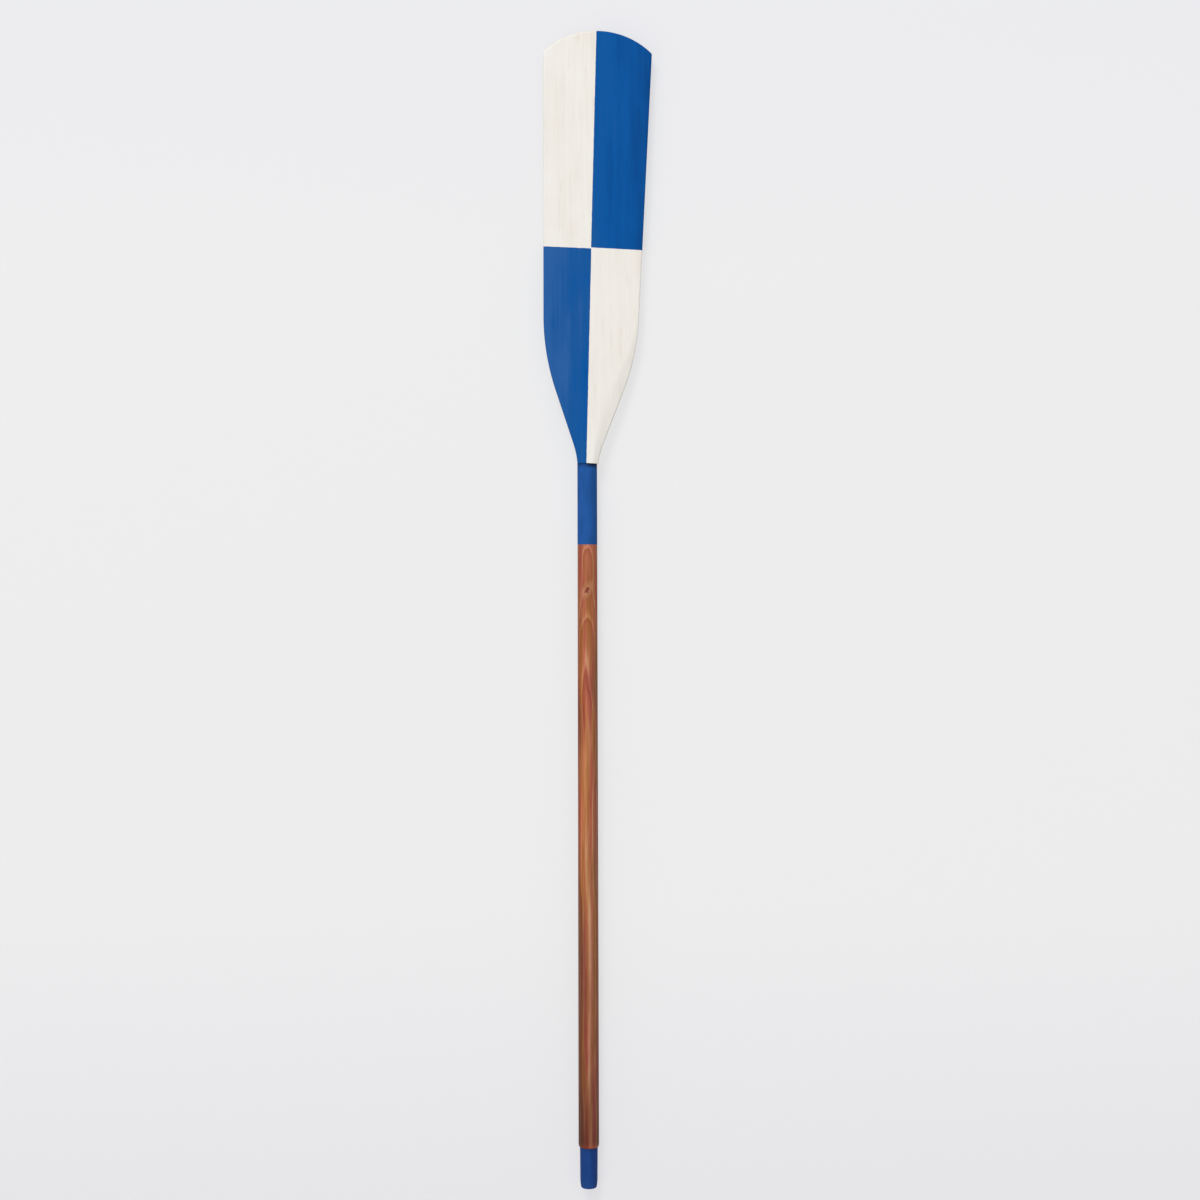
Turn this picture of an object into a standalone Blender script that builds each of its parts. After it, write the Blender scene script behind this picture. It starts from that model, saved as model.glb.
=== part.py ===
"""A painted pine oar: a flat flared blade, a round stained loom and a turned grip.

The oar stands upright with its grip down. +Z runs up the loom's axis, X runs across the blade, and
one painted face looks towards -Y. The origin is on the loom's axis at the shoulder, where the round
neck ends and the blade begins. Every size is in metres.

A pine bar is turned round from the shoulder down to the butt. Above the shoulder it is left
flat-sided and runs up to the tip as the blade's spine. A cheek is glued to each side of it, with
four dowels driven across the joint, and the three pieces are then faired as one blade.
"""

import math

import bmesh
import bpy
import numpy as np
from mathutils import Matrix, Vector

# Loom
LOOM_LENGTH = 0.9300
NECK_DIAMETER = 0.0267
BUTT_DIAMETER = 0.0281
BUTT_EASE_LENGTH = 0.0060
BUTT_EASE_DEPTH = 0.0019
NECK_PAINT_LENGTH = 0.1100

# Grip
GRIP_LENGTH = 0.0555
GRIP_DIAMETER = 0.0242
GRIP_TAPER = 0.0006
GRIP_EASE_LENGTH = 0.0110
GRIP_EASE_DEPTH = 0.0010
GRIP_ROUND = 0.0025
SPIGOT_DIAMETER = 0.0140
SPIGOT_LENGTH = 0.0600
SPIGOT_CHAMFER = 0.0010

# Blade outline, measured up from the shoulder on the blade's own centre line
BLADE_LENGTH = 0.5887
BLADE_LEAN = math.radians(1.5)
BLADE_SHIFT = 0.0008
FLARE_RISE = 0.0080
FLARE_ANGLE = math.radians(19.75)
SIDE_ANGLE = math.radians(1.44)
NECK_SWEEP = 0.1200
SIDE_SWEEP = 0.3100
TIP_WIDTH = 0.1480
TIP_CROWN = 0.0295
TIP_CORNER = 0.0045
SPINE_MARGIN = 0.0016

# Blade thickness and edges
SHOULDER_STEP = 0.0016
ROOT_THICKNESS = 0.0188
TIP_THICKNESS = 0.0120
THROAT_LENGTH = 0.1900
THROAT_BEVEL = 0.0135
THROAT_DROP = 0.0042
BEVEL_FULL_RISE = 0.0850
BEVEL_END_RISE = 0.2050
BEVEL_SHARE = 0.45
EDGE_BEVEL = 0.0010
EDGE_DROP = 0.0002
EDGE_ROUND = 0.0020
CREASE_SHARE = 0.25

# The two lines that part the painted quarters
PAINT_CROSS_RISE = 0.2930
PAINT_CROSS_LEAN = math.radians(1.5)
PAINT_LINE_SHIFT = 0.0024

# Dowels between the spine and the cheeks
DOWEL_COUNT = 4
DOWEL_DIAMETER = 0.0060
DOWEL_LENGTH = 0.0700
DOWEL_CHAMFER = 0.0008
FIRST_DOWEL_RISE = 0.1120
LAST_DOWEL_FROM_TIP = 0.1200

# Fits
CLEARANCE = 0.0003
END_GAP = 0.0008
UNION_OVERLAP = 0.0030
CUT_MARGIN = 0.0200

# Facets
ROUND_SEGMENTS = 64
DOWEL_SEGMENTS = 24
LOOM_RINGS = 8
EASE_STEPS = 5
EDGE_STEPS = 3
NECK_SWEEP_STEPS = 8
FLARE_STEPS = 5
SIDE_SWEEP_STEPS = 10
SIDE_STEPS = 9
CORNER_STEPS = 3
CROWN_STEPS = 12
SHARP_ANGLE = math.radians(28)
WELD_DISTANCE = 0.00005

# Sizes that follow from the ones above
NECK_RADIUS = NECK_DIAMETER / 2
BUTT_RADIUS = BUTT_DIAMETER / 2
GRIP_RADIUS = GRIP_DIAMETER / 2
SHOULDER_THICKNESS = NECK_DIAMETER + 2 * SHOULDER_STEP
SPINE_HALF = NECK_RADIUS + SPINE_MARGIN

# Finishes
STAINED_PINE = ("stained_pine", 0xA2623F, 0.45)
BARE_PINE = ("bare_pine", 0xD9B98A, 0.70)
WHITE_PAINT = ("white_paint", 0xEDE8E0, 0.55)
BLUE_PAINT = ("blue_paint", 0x15529C, 0.50)
BEECH = ("beech", 0xC99B6B, 0.60)


def linear(channel):
    """One sRGB channel from 0 to 255 as linear light."""
    value = channel / 255
    if value <= 0.04045:
        return value / 12.92
    return ((value + 0.055) / 1.055) ** 2.4


def finish(spec):
    """The material of a finish, made once and shared by the pieces that have it."""
    name, colour, roughness = spec
    made = bpy.data.materials.get(name)
    if made:
        return made
    made = bpy.data.materials.new(name)
    made.use_nodes = True
    shader = made.node_tree.nodes["Principled BSDF"]
    rgb = [linear(colour >> shift & 255) for shift in (16, 8, 0)]
    shader.inputs["Base Color"].default_value = (*rgb, 1.0)
    shader.inputs["Roughness"].default_value = roughness
    shader.inputs["Metallic"].default_value = 0.0
    made.diffuse_color = (*rgb, 1.0)
    return made


def add_object(name, mesh, collection, finishes):
    """A mesh as a named object with its finishes."""
    piece = bpy.data.objects.new(name, mesh)
    collection.objects.link(piece)
    for spec in finishes:
        mesh.materials.append(finish(spec))
    return piece


def add_guide(name, mesh, collection, finishes=(BARE_PINE,)):
    """A cutter or blank that shapes the pieces and isn't one itself."""
    guide = add_object(name, mesh, collection, finishes)
    guide.hide_render = True
    guide.display_type = "WIRE"
    return guide


def settle(piece):
    """Turns a piece's modifiers into its mesh and shades its round faces smooth."""
    bpy.context.view_layer.update()
    evaluated = piece.evaluated_get(bpy.context.evaluated_depsgraph_get())
    mesh = bpy.data.meshes.new_from_object(evaluated)
    piece.modifiers.clear()
    piece.data = mesh
    mesh.name = piece.name
    mesh.shade_smooth()
    mesh.set_sharp_from_angle(angle=SHARP_ANGLE)


def boolean(piece, operation, tool):
    """Joins, cuts or trims a piece by another object, keeping each one's finish."""
    step = piece.modifiers.new(f"{operation.lower()}_{tool.name}", "BOOLEAN")
    step.operation = operation
    step.object = tool
    step.solver = "EXACT"
    step.material_mode = "TRANSFER"


def turned(name, profile, collection, finishes, segments=ROUND_SEGMENTS):
    """A piece turned about Z from a profile of (radius, height) that runs from its top down."""
    mesh = bpy.data.meshes.new(name)
    points = [(radius, 0.0, height) for radius, height in profile]
    mesh.from_pydata(points, [(i, i + 1) for i in range(len(points) - 1)], [])
    piece = add_object(name, mesh, collection, finishes)
    screw = piece.modifiers.new("turning", "SCREW")
    screw.angle = 2 * math.pi
    screw.steps = segments
    screw.render_steps = segments
    screw.use_merge_vertices = True
    screw.merge_threshold = WELD_DISTANCE
    settle(piece)
    return piece


def ease(radius, depth, top, length):
    """Profile points of a quarter-ellipse easing that ends at radius - depth."""
    angles = [math.pi / 2 * step / EASE_STEPS for step in range(EASE_STEPS + 1)]
    return [(radius - depth * (1 - math.cos(a)), top - length * math.sin(a)) for a in angles]


def box(name, low, high):
    """A box between two corners."""
    low, high = np.array(low), np.array(high)
    mesh = bpy.data.meshes.new(name)
    shape = bmesh.new()
    place = Matrix.Translation((low + high) / 2) @ Matrix.Diagonal((*(high - low), 1.0))
    bmesh.ops.create_cube(shape, size=1.0, matrix=place)
    shape.to_mesh(mesh)
    shape.free()
    return mesh


def rod(name, radius, length, segments):
    """A cylinder about Z, centred on its own middle."""
    mesh = bpy.data.meshes.new(name)
    shape = bmesh.new()
    bmesh.ops.create_cone(shape, cap_ends=True, segments=segments, radius1=radius,
                          radius2=radius, depth=length)
    shape.to_mesh(mesh)
    shape.free()
    return mesh


def fall(rise, start, end):
    """1 up to start, 0 from end on, and a smooth step between them."""
    share = np.clip((rise - start) / (end - start), 0.0, 1.0)
    return (1 - share) ** 2 * (1 + 2 * share)


def half_thickness(rise):
    """Half the blade's thickness: a straight taper to the tip that swells in the throat."""
    taper = ROOT_THICKNESS + (TIP_THICKNESS - ROOT_THICKNESS) * rise / BLADE_LENGTH
    swell = (SHOULDER_THICKNESS - ROOT_THICKNESS) * fall(rise, 0.0, THROAT_LENGTH)
    return (taper + swell) / 2


def arc(centre, radius, start, end, steps):
    """Points and normals of an arc between two normal angles; a negative radius is hollow."""
    angle = np.linspace(start, end, steps + 1)
    normal = np.column_stack((np.cos(angle), np.sin(angle)))
    return centre + radius * normal, normal


def straight(start, end, normal, steps):
    """The inner points of a straight edge, with its normal at each."""
    share = np.linspace(0.0, 1.0, steps + 1)[1:-1, None]
    points = start + share * (end - start)
    return points, np.repeat(normal[None], len(points), axis=0)


def half_outline():
    """The right half of the outline, from below the shoulder to the tip, with outward normals.

    A hollow sweep leaves the neck, a straight flare follows, a full sweep turns it into the
    straight side, and a small corner leads into the crowned tip.
    """
    flare = np.array([math.sin(FLARE_ANGLE), math.cos(FLARE_ANGLE)])
    side = np.array([math.sin(SIDE_ANGLE), math.cos(SIDE_ANGLE)])
    side_normal = np.array([side[1], -side[0]])
    foot = np.array([NECK_RADIUS, FLARE_RISE])
    corner = np.array([TIP_WIDTH / 2, BLADE_LENGTH - TIP_CROWN])
    run = np.linalg.solve(np.column_stack((flare, side)), corner - foot)
    knee = foot + run[0] * flare

    neck_reach = NECK_SWEEP * math.tan(FLARE_ANGLE / 2)
    neck_centre = np.array([NECK_RADIUS + NECK_SWEEP, FLARE_RISE - neck_reach])
    knee_reach = SIDE_SWEEP * math.tan((FLARE_ANGLE - SIDE_ANGLE) / 2)
    knee_centre = knee + knee_reach * side - SIDE_SWEEP * side_normal

    tip_radius = ((TIP_WIDTH / 2) ** 2 + TIP_CROWN ** 2) / (2 * TIP_CROWN)
    tip_centre = np.array([0.0, BLADE_LENGTH - tip_radius])
    inset = corner - TIP_CORNER * side_normal - tip_centre
    along = inset @ side
    spare = inset @ inset - (tip_radius - TIP_CORNER) ** 2
    corner_centre = tip_centre + inset - (along - math.sqrt(along ** 2 - spare)) * side
    turn = math.atan2(*(corner_centre - tip_centre)[::-1])

    sweep = arc(neck_centre, -NECK_SWEEP, 0.0, -FLARE_ANGLE, NECK_SWEEP_STEPS)
    bend = arc(knee_centre, SIDE_SWEEP, -FLARE_ANGLE, -SIDE_ANGLE, SIDE_SWEEP_STEPS)
    point = arc(corner_centre, TIP_CORNER, -SIDE_ANGLE, turn, CORNER_STEPS)
    crown = arc(tip_centre, tip_radius, turn, math.pi / 2, CROWN_STEPS)
    rise = straight(sweep[0][-1], bend[0][0], sweep[1][-1], FLARE_STEPS)
    edge = straight(bend[0][-1], point[0][0], side_normal, SIDE_STEPS)
    runs = [sweep, rise, bend, edge, point, (crown[0][1:], crown[1][1:])]
    points = np.vstack([run[0] for run in runs])
    points[-1, 0] = 0.0
    return points, np.vstack([run[1] for run in runs])


def edge_path(bevel, drop):
    """Offsets in from the outline and drops from the face, from the face to the flank.

    The bevel starts with a crease, softened as a parabola over CREASE_SHARE of its width on both
    sides, and a round of EDGE_ROUND turns it into the flank. Each input holds one value a station,
    each output one row a station.
    """
    slope = np.arctan2(drop, bevel)[:, None]
    bevel, drop = bevel[:, None], drop[:, None]
    crease = EDGE_ROUND * (1 - np.sin(slope)) + bevel
    span = np.array([1.0, 0.0, -1.0])
    crease_in = crease + bevel * CREASE_SHARE * span
    crease_down = drop * CREASE_SHARE * ((1 - span) / 2) ** 2
    turn = slope + (math.pi / 2 - slope) * np.linspace(0.0, 1.0, EDGE_STEPS + 1)
    round_in = EDGE_ROUND * (1 - np.sin(turn))
    round_down = drop + EDGE_ROUND * (np.cos(slope) - np.cos(turn))
    return np.hstack((crease_in, round_in)), np.hstack((crease_down, round_down))


def blade_rings():
    """The blade's edge as rings of points, one a station, from the left foot over the tip.

    Each ring runs from the front face round the flank to the back face. Its points lie square
    to the outline, and as far down from the faces as the edge path says.
    """
    outline, normal = half_outline()
    width, rise = outline.T
    run_out = fall(rise, BEVEL_FULL_RISE, BEVEL_END_RISE)
    bevel = EDGE_BEVEL + (THROAT_BEVEL - EDGE_BEVEL) * run_out
    # in the narrow throat the bevels leave a strip of flat face between them
    bevel = np.where(run_out > 0, np.minimum(bevel, BEVEL_SHARE * width), bevel)
    drop = EDGE_DROP + (THROAT_DROP - EDGE_DROP) * run_out
    inward, down = edge_path(bevel, drop)
    across = outline[:, None, 0] - normal[:, None, 0] * inward
    height = outline[:, None, 1] - normal[:, None, 1] * inward
    depth = half_thickness(height) - down
    front = np.stack((across, -depth, height), axis=2)
    back = np.stack((across, depth, height), axis=2)[:, ::-1]
    right = np.concatenate((front, back), axis=1)
    left = right[:-1] * np.array([-1.0, 1.0, 1.0])
    return np.concatenate((left, right[::-1]))


def blade_faces(stations, ring):
    """Faces that close the rings: the edge, the two painted faces and the foot.

    The painted faces are bands from each left station to the right station at its height.
    """
    def at(station, place):
        return station * ring + place

    last = stations - 1
    faces = []
    for k in range(last):
        faces += [(at(k, j), at(k, j + 1), at(k + 1, j + 1), at(k + 1, j))
                  for j in range(ring - 1)]
    for k in range(last // 2):
        for j in (0, ring - 1):
            band = (at(k, j), at(k + 1, j), at(last - k - 1, j), at(last - k, j))
            faces.append(tuple(dict.fromkeys(band)))
    foot = [at(0, j) for j in range(ring)] + [at(last, j) for j in reversed(range(ring))]
    faces.append(tuple(foot))
    return faces


def blade_blank():
    """The faired blade as one solid, painted in quarters, before it is parted into its pieces."""
    rings = blade_rings()
    mesh = bpy.data.meshes.new("blade_blank")
    faces = blade_faces(rings.shape[0], rings.shape[1])
    mesh.from_pydata(rings.reshape(-1, 3).tolist(), [], faces)
    shape = bmesh.new()
    shape.from_mesh(mesh)
    crossing = Vector((-PAINT_LINE_SHIFT, 0, PAINT_CROSS_RISE))
    upward = Vector((math.sin(PAINT_CROSS_LEAN), 0, math.cos(PAINT_CROSS_LEAN)))
    rightward = Vector((1, 0, 0))
    for normal in (upward, rightward):
        whole = shape.verts[:] + shape.edges[:] + shape.faces[:]
        bmesh.ops.bisect_plane(shape, geom=whole, plane_co=crossing, plane_no=normal)
    bmesh.ops.recalc_face_normals(shape, faces=shape.faces)
    for face in shape.faces:
        place = face.calc_center_median() - crossing
        face.material_index = int((place @ rightward > 0) == (place @ upward > 0))
        face.smooth = True
    shape.to_mesh(mesh)
    shape.free()
    return mesh


def dowel_heights():
    """Heights of the dowels above the shoulder, evenly spread."""
    return np.linspace(FIRST_DOWEL_RISE, BLADE_LENGTH - LAST_DOWEL_FROM_TIP, DOWEL_COUNT)


def add_drills(guides):
    """The holes for the dowels, and the bore for the grip's spigot."""
    cross = Matrix.Rotation(math.pi / 2, 4, "Y")
    drills = []
    for number, height in enumerate(dowel_heights(), start=1):
        name = f"drill_{number}"
        hole = rod(name, DOWEL_DIAMETER / 2 + CLEARANCE, DOWEL_LENGTH + 2 * END_GAP,
                   DOWEL_SEGMENTS)
        drill = add_guide(name, hole, guides)
        drill.matrix_world = Matrix.Translation((0, 0, height)) @ cross
        drills.append(drill)
    depth = SPIGOT_LENGTH + END_GAP
    bore = rod("spigot_drill", SPIGOT_DIAMETER / 2 + CLEARANCE, depth + CUT_MARGIN,
               ROUND_SEGMENTS)
    spigot_drill = add_guide("spigot_drill", bore, guides)
    spigot_drill.location.z = -LOOM_LENGTH + (depth - CUT_MARGIN) / 2
    return drills, spigot_drill


def loom_profile():
    """The turned part, from just above the shoulder down to the butt."""
    wood_top = -NECK_PAINT_LENGTH
    ease_top = -LOOM_LENGTH + BUTT_EASE_LENGTH
    grow = (BUTT_RADIUS - NECK_RADIUS) / LOOM_LENGTH
    heights = np.linspace(wood_top, ease_top, LOOM_RINGS, endpoint=False)
    shaft = [(NECK_RADIUS - grow * z, z) for z in heights]
    top = [(0.0, UNION_OVERLAP), (NECK_RADIUS, UNION_OVERLAP), (NECK_RADIUS, 0.0)]
    butt = ease(BUTT_RADIUS, BUTT_EASE_DEPTH, ease_top, BUTT_EASE_LENGTH)
    return top + shaft + butt + [(0.0, -LOOM_LENGTH)]


def make_loom(parts, guides, blank, drills, spigot_drill):
    """The turned loom, its painted neck and the spine that runs up inside the blade."""
    loom = turned("loom", loom_profile(), parts, (STAINED_PINE, BLUE_PAINT))
    for face in loom.data.polygons:
        face.material_index = int(face.center.z > -NECK_PAINT_LENGTH)
    reach = BLADE_LENGTH + CUT_MARGIN
    bar = box("spine_bar", (-SPINE_HALF, -CUT_MARGIN, 0.0), (SPINE_HALF, CUT_MARGIN, reach))
    spine = add_guide("spine_bar", bar, guides)
    boolean(spine, "INTERSECT", blank)
    boolean(loom, "UNION", spine)
    for drill in [*drills, spigot_drill]:
        boolean(loom, "DIFFERENCE", drill)
    settle(loom)


def make_cheek(name, side, parts, blank, drills):
    """One cheek: the part of the blade beyond the glue line, on side -1 (left) or +1 (right)."""
    ends = sorted((side * (SPINE_HALF + CLEARANCE), side * TIP_WIDTH))
    reach = BLADE_LENGTH + CUT_MARGIN
    low = (ends[0], -CUT_MARGIN, 0.0)
    board = box(name, low, (ends[1], CUT_MARGIN, reach))
    cheek = add_object(name, board, parts, (BARE_PINE,))
    boolean(cheek, "INTERSECT", blank)
    for drill in drills:
        boolean(cheek, "DIFFERENCE", drill)
    settle(cheek)


def make_grip(parts):
    """The turned handle and its spigot, drawn from the butt's face down."""
    end_radius = GRIP_RADIUS - GRIP_TAPER / 2
    ease_top = -GRIP_LENGTH + GRIP_ROUND + GRIP_EASE_LENGTH
    eased = end_radius - GRIP_EASE_DEPTH
    spigot = SPIGOT_DIAMETER / 2
    profile = [
        (0.0, SPIGOT_LENGTH),
        (spigot - SPIGOT_CHAMFER, SPIGOT_LENGTH),
        (spigot, SPIGOT_LENGTH - SPIGOT_CHAMFER),
        (spigot, -CLEARANCE),
        (GRIP_RADIUS, -CLEARANCE),
    ]
    steps = np.linspace(0.0, 1.0, EASE_STEPS + 1)[:-1]
    profile += [(end_radius - GRIP_EASE_DEPTH * s ** 2, ease_top - GRIP_EASE_LENGTH * s)
                for s in steps]
    profile += ease(eased, GRIP_ROUND, -GRIP_LENGTH + GRIP_ROUND, GRIP_ROUND)
    profile += [(0.0, -GRIP_LENGTH)]
    grip = turned("grip", profile, parts, (BLUE_PAINT,))
    grip.location.z = -LOOM_LENGTH


def make_dowels(parts):
    """The dowels, each turned upright with chamfered ends and laid across the blade."""
    radius = DOWEL_DIAMETER / 2
    half = DOWEL_LENGTH / 2
    profile = [
        (0.0, half),
        (radius - DOWEL_CHAMFER, half),
        (radius, half - DOWEL_CHAMFER),
        (radius, -half + DOWEL_CHAMFER),
        (radius - DOWEL_CHAMFER, -half),
        (0.0, -half),
    ]
    for number, height in enumerate(dowel_heights(), start=1):
        dowel = turned(f"blade_dowel_{number}", profile, parts, (BEECH,), DOWEL_SEGMENTS)
        dowel.location.z = height
        dowel.rotation_euler.y = math.pi / 2


def make_oar():
    """Clears the scene and makes every piece in its place."""
    for old in list(bpy.data.objects):
        bpy.data.objects.remove(old)
    parts = bpy.data.collections.new("oar")
    guides = bpy.data.collections.new("shaping_guides")
    bpy.context.scene.collection.children.link(parts)
    bpy.context.scene.collection.children.link(guides)

    lean = bpy.data.objects.new("blade_lean", None)
    guides.objects.link(lean)
    lean.location.x = BLADE_SHIFT
    lean.rotation_euler.y = BLADE_LEAN
    blank = add_guide("blade_blank", blade_blank(), guides, (WHITE_PAINT, BLUE_PAINT))
    blank.parent = lean
    drills, spigot_drill = add_drills(guides)

    make_loom(parts, guides, blank, drills, spigot_drill)
    make_cheek("blade_cheek_left", -1, parts, blank, drills)
    make_cheek("blade_cheek_right", 1, parts, blank, drills)
    make_grip(parts)
    make_dowels(parts)


make_oar()
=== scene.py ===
"""The looks of a painted pine oar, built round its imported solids.

The oar stands upright in metres: +Z runs up the loom's axis, X runs across the blade, and the face
seen first looks towards -Y. The origin is at the blade's shoulder, on the loom's axis. The sections
follow the making: the faired blade, the loom with its spine, the cheeks, the dowels and the grip.
The wall, the light and the camera come last.
"""

import math

import bmesh
import bpy
import numpy as np
from mathutils import Matrix, Vector


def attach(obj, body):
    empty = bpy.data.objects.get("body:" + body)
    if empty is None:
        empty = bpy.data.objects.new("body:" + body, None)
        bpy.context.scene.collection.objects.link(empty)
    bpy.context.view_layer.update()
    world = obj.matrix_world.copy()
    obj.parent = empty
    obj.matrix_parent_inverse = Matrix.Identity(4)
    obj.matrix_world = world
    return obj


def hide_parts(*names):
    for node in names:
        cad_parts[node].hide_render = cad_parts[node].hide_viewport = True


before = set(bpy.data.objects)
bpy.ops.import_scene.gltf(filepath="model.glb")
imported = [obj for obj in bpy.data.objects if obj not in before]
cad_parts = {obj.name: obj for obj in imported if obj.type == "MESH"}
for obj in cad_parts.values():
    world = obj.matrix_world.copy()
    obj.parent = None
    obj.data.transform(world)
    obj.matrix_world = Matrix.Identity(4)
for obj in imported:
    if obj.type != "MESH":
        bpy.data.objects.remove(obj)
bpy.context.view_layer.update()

# The blade as it is faired
# Two pine cheeks are glued to the flat-sided top of the loom and shaped with it as one blade: a
# square shoulder, a hollow bevelled throat, flat faces that thin towards a crowned tip. Then it is
# painted white all over, and two quarters are masked and painted blue.

BLADE_LENGTH = 0.58865
BLADE_LEAN = math.radians(1.5)
BLADE_SHIFT = 0.0008
NECK_RADIUS = 0.01335
FLARE_RISE = 0.0080
FLARE_ANGLE = math.radians(19.75)
SIDE_ANGLE = math.radians(1.44)
NECK_SWEEP = 0.1200
SIDE_SWEEP = 0.3100
TIP_WIDTH = 0.14799
TIP_CROWN = 0.0295
TIP_CORNER = 0.0045
SHOULDER_THICKNESS = 0.0299
ROOT_THICKNESS = 0.0188
TIP_THICKNESS = 0.0120
THROAT_LENGTH = 0.1900
THROAT_BEVEL = 0.0135
THROAT_DROP = 0.0042
BEVEL_FULL_RISE = 0.0850
BEVEL_END_RISE = 0.2050
BEVEL_SHARE = 0.45
EDGE_BEVEL = 0.0010
EDGE_DROP = 0.0002
EDGE_ROUND = 0.0020
ROUND_POINTS = 7
CREASE_SHARE = 0.35
CREASE_POINTS = 8
FOOT_ROUND = 0.0005
FOOT_STEPS = 4
STATION_STEP = 0.0030
LEAST_ARC_STEPS = 6
LEAST_RUN_STEPS = 2
FACE_COLUMNS = 26
MERGE_DISTANCE = 0.000001
SHARP_ANGLE = math.radians(32)


def arc(centre, radius, start, end):
    """Points centre + radius * (cos a, sin a) and their normals, for a from start to end."""
    steps = max(LEAST_ARC_STEPS, round(abs(radius * (end - start)) / STATION_STEP))
    angle = np.linspace(start, end, steps + 1)
    normal = np.column_stack((np.cos(angle), np.sin(angle)))
    return centre + radius * normal, normal


def straight(start, end, normal):
    """The inner points start + t * (end - start) of a straight run, with one normal for all."""
    steps = max(LEAST_RUN_STEPS, round(float(np.linalg.norm(end - start)) / STATION_STEP))
    share = np.linspace(0.0, 1.0, steps + 1)[1:-1, None]
    points = start + share * (end - start)
    return points, np.repeat(normal[None], len(points), axis=0)


def half_outline():
    """The right half of the outline from the shoulder to the tip, with outward normals.

    An arc hollow to the outside leaves the neck, a straight flare follows, a full arc turns it into
    the straight side, and a small corner arc leads into the arc of the crowned tip. Each arc is
    tangent to its neighbours.
    """
    flare = np.array([math.sin(FLARE_ANGLE), math.cos(FLARE_ANGLE)])
    side = np.array([math.sin(SIDE_ANGLE), math.cos(SIDE_ANGLE)])
    side_normal = np.array([side[1], -side[0]])
    foot = np.array([NECK_RADIUS, FLARE_RISE])
    corner = np.array([TIP_WIDTH / 2, BLADE_LENGTH - TIP_CROWN])
    run = np.linalg.solve(np.column_stack((flare, side)), corner - foot)
    knee = foot + run[0] * flare

    neck_reach = NECK_SWEEP * math.tan(FLARE_ANGLE / 2)
    neck_centre = np.array([NECK_RADIUS + NECK_SWEEP, FLARE_RISE - neck_reach])
    neck_start = math.asin((neck_centre[1] - FOOT_ROUND) / NECK_SWEEP)
    knee_reach = SIDE_SWEEP * math.tan((FLARE_ANGLE - SIDE_ANGLE) / 2)
    knee_centre = knee + knee_reach * side - SIDE_SWEEP * side_normal

    tip_radius = ((TIP_WIDTH / 2) ** 2 + TIP_CROWN ** 2) / (2 * TIP_CROWN)
    tip_centre = np.array([0.0, BLADE_LENGTH - tip_radius])
    inset = corner - TIP_CORNER * side_normal - tip_centre
    along = inset @ side
    spare = inset @ inset - (tip_radius - TIP_CORNER) ** 2
    corner_centre = tip_centre + inset - (along - math.sqrt(along ** 2 - spare)) * side
    turn = math.atan2(*(corner_centre - tip_centre)[::-1])

    sweep = arc(neck_centre, -NECK_SWEEP, neck_start, -FLARE_ANGLE)
    bend = arc(knee_centre, SIDE_SWEEP, -FLARE_ANGLE, -SIDE_ANGLE)
    point = arc(corner_centre, TIP_CORNER, -SIDE_ANGLE, turn)
    crown = arc(tip_centre, tip_radius, turn, math.pi / 2)
    rise = straight(sweep[0][-1], bend[0][0], sweep[1][-1])
    edge = straight(bend[0][-1], point[0][0], side_normal)
    runs = [sweep, rise, bend, edge, point, (crown[0][1:], crown[1][1:])]
    points = np.vstack([run[0] for run in runs])
    points[-1, 0] = 0.0
    return points, np.vstack([run[1] for run in runs])


def fall(rise, start, end):
    """1 up to start, 0 from end on, and the cubic (1 - t)^2 (1 + 2t) between them."""
    share = np.clip((rise - start) / (end - start), 0.0, 1.0)
    return (1 - share) ** 2 * (1 + 2 * share)


def half_thickness(rise):
    """Half the thickness: linear in the rise, plus a swell that falls off along the throat."""
    taper = ROOT_THICKNESS + (TIP_THICKNESS - ROOT_THICKNESS) * rise / BLADE_LENGTH
    swell = (SHOULDER_THICKNESS - ROOT_THICKNESS) * fall(rise, 0.0, THROAT_LENGTH)
    return (taper + swell) / 2


def rim_path(bevel, drop):
    """How far in from the outline and down from the face the rim runs, from face to flank.

    A parabola softens the crease where the bevel begins, the bevel is straight, and a quarter turn
    of EDGE_ROUND brings it into the flank. One row of the result belongs to one station.
    """
    slope = np.arctan2(drop, bevel)[:, None]
    bevel, drop = bevel[:, None], drop[:, None]
    crease = EDGE_ROUND * (1 - np.sin(slope)) + bevel
    span = np.linspace(1.0, -1.0, CREASE_POINTS)
    crease_in = crease + bevel * CREASE_SHARE * span
    crease_down = drop * CREASE_SHARE * ((1 - span) / 2) ** 2
    turn = slope + (math.pi / 2 - slope) * np.linspace(0.0, 1.0, ROUND_POINTS)
    round_in = EDGE_ROUND * (1 - np.sin(turn))
    round_down = drop + EDGE_ROUND * (np.cos(slope) - np.cos(turn))
    return np.hstack((crease_in, round_in)), np.hstack((crease_down, round_down))


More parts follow.
